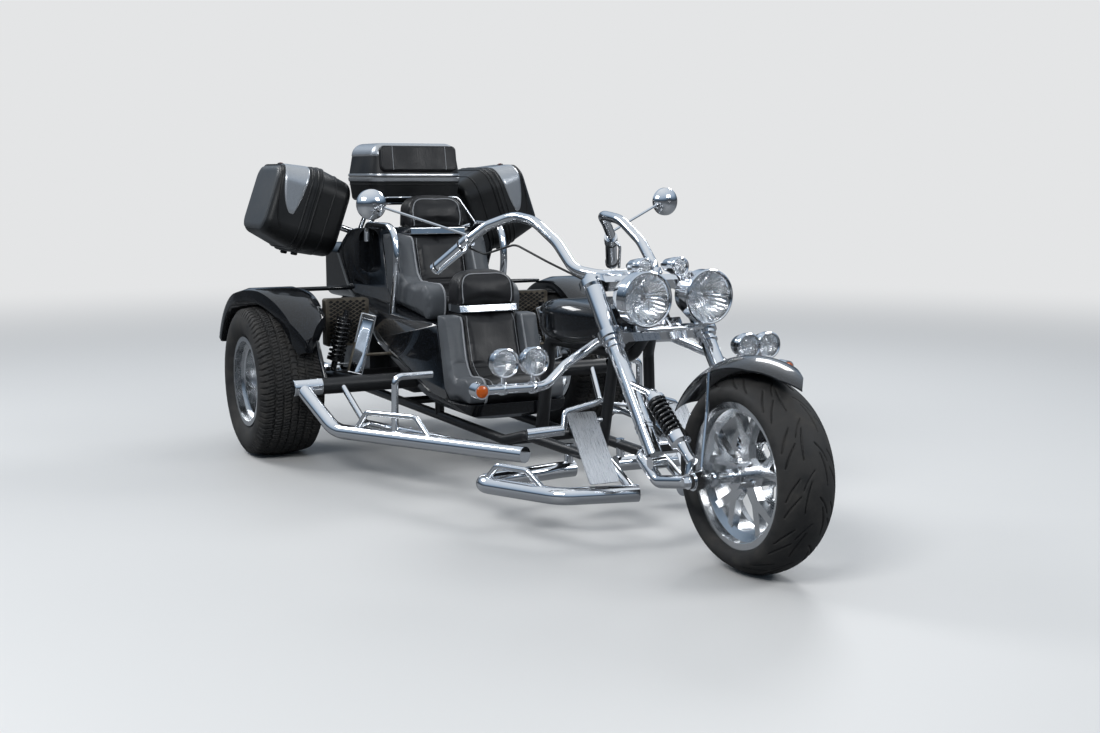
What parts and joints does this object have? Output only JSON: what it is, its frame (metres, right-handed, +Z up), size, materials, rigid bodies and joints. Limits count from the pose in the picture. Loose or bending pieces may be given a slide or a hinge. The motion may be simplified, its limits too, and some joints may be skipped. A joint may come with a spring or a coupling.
{
  "type": "motorized trike",
  "caption": "Rear engined motor trike with a leading link fork, raised double seat, chrome rails, wide rear wheels and luggage cases that open.",
  "frame": {"origin": "on the ground below the middle of the whole trike", "axes": "+X forward along the trike, +Y to the rider's left, +Z up"},
  "size_m": [3.5189, 1.8132, 1.3705],
  "materials": {
    "tyre_rubber": "matte",
    "chrome": "polished",
    "black_paint": "gloss with fine metallic flake",
    "frame_paint": "satin",
    "brushed_plate": "brushed",
    "seat_black": "grained",
    "seat_grey": "grained",
    "case_plastic": "textured",
    "lamp_glass": "clear",
    "signal_orange": "clear tinted",
    "tail_red": "clear tinted",
    "engine_alloy": "cast",
    "shock_black": "gloss",
    "disc_steel": "ground",
    "hose_rubber": "satin",
    "radiator_core": "finned"
  },
  "bodies": {
    "chassis": {"main_frame": "frame_paint", "cross_tube": "frame_paint", "side_bars": "chrome", "foot_loops": "chrome", "foot_plates": "brushed_plate", "foot_pegs": "chrome", "highway_bars": "chrome", "driving_lamps": "chrome", "driving_lamp_lenses": "lamp_glass", "turn_signals": "signal_orange", "fuel_tank": "black_paint", "body_shell": "black_paint", "driver_seat": "seat_black", "passenger_seat": "seat_black", "seat_bolsters": "seat_grey", "head_pads": "seat_black", "seat_strips": "chrome", "rear_fenders": "black_paint", "swing_arms": "frame_paint", "rear_shocks": "shock_black", "radiators": "radiator_core", "engine_block": "engine_alloy", "engine_cover": "black_paint", "exhausts": "chrome", "tail_lamps": "tail_red", "case_rack": "chrome", "seat_rails": "chrome", "plate_bracket": "frame_paint", "lashing_eyes": "frame_paint", "top_case_shell": "case_plastic", "side_case_shells": "case_plastic"},
    "top_lid": {"top_case_lid": "case_plastic", "top_case_pad": "seat_black"},
    "side_lid_right": {"side_case_lid_right": "case_plastic"},
    "side_lid_left": {"side_case_lid_left": "case_plastic"},
    "steering": {"fork_yokes": "chrome", "fork_tubes": "chrome", "leading_link": "chrome", "front_axle": "chrome", "front_shocks": "shock_black", "front_fender": "black_paint", "fender_stays": "chrome", "front_brake": "frame_paint", "handlebar": "chrome", "grips": "chrome", "levers": "chrome", "mirrors": "chrome", "brake_hose": "hose_rubber", "headlamps": "chrome", "headlamp_lenses": "lamp_glass"},
    "front_wheel": {"front_tyre": "tyre_rubber", "front_rim": "chrome", "front_disc": "disc_steel"},
    "rear_wheel_right": {"rear_tyre_right": "tyre_rubber", "rear_rim_right": "chrome"},
    "rear_wheel_left": {"rear_tyre_left": "tyre_rubber", "rear_rim_left": "chrome"}
  },
  "joints": [
    {"name": "steering", "type": "hinge", "parent": "chassis", "child": "steering", "pos_m": [0.84809, 0, 0.81083], "axis": [-0.6157, 0, 0.788], "range_deg": [-28, 28]},
    {"name": "front_wheel_spin", "type": "hinge", "parent": "steering", "child": "front_wheel", "pos_m": [1.454, 0, 0.311], "axis": [0, 1, 0], "continuous": true},
    {"name": "rear_wheel_right_spin", "type": "hinge", "parent": "chassis", "child": "rear_wheel_right", "pos_m": [-1.074, -0.7616, 0.33], "axis": [0, 1, 0], "continuous": true},
    {"name": "rear_wheel_left_spin", "type": "hinge", "parent": "chassis", "child": "rear_wheel_left", "pos_m": [-1.074, 0.7616, 0.33], "axis": [0, 1, 0], "continuous": true},
    {"name": "top_lid_opening", "type": "hinge", "parent": "chassis", "child": "top_lid", "pos_m": [-1.201, 0, 1.2175], "axis": [0, 1, 0], "range_deg": [0, 65]},
    {"name": "side_lid_right_opening", "type": "hinge", "parent": "chassis", "child": "side_lid_right", "pos_m": [-1.534, -0.54874, 0.87017], "axis": [1, 0, 0], "range_deg": [0, 50]},
    {"name": "side_lid_left_opening", "type": "hinge", "parent": "chassis", "child": "side_lid_left", "pos_m": [-1.534, 0.54874, 0.87017], "axis": [-1, 0, 0], "range_deg": [0, 50]}
  ]
}
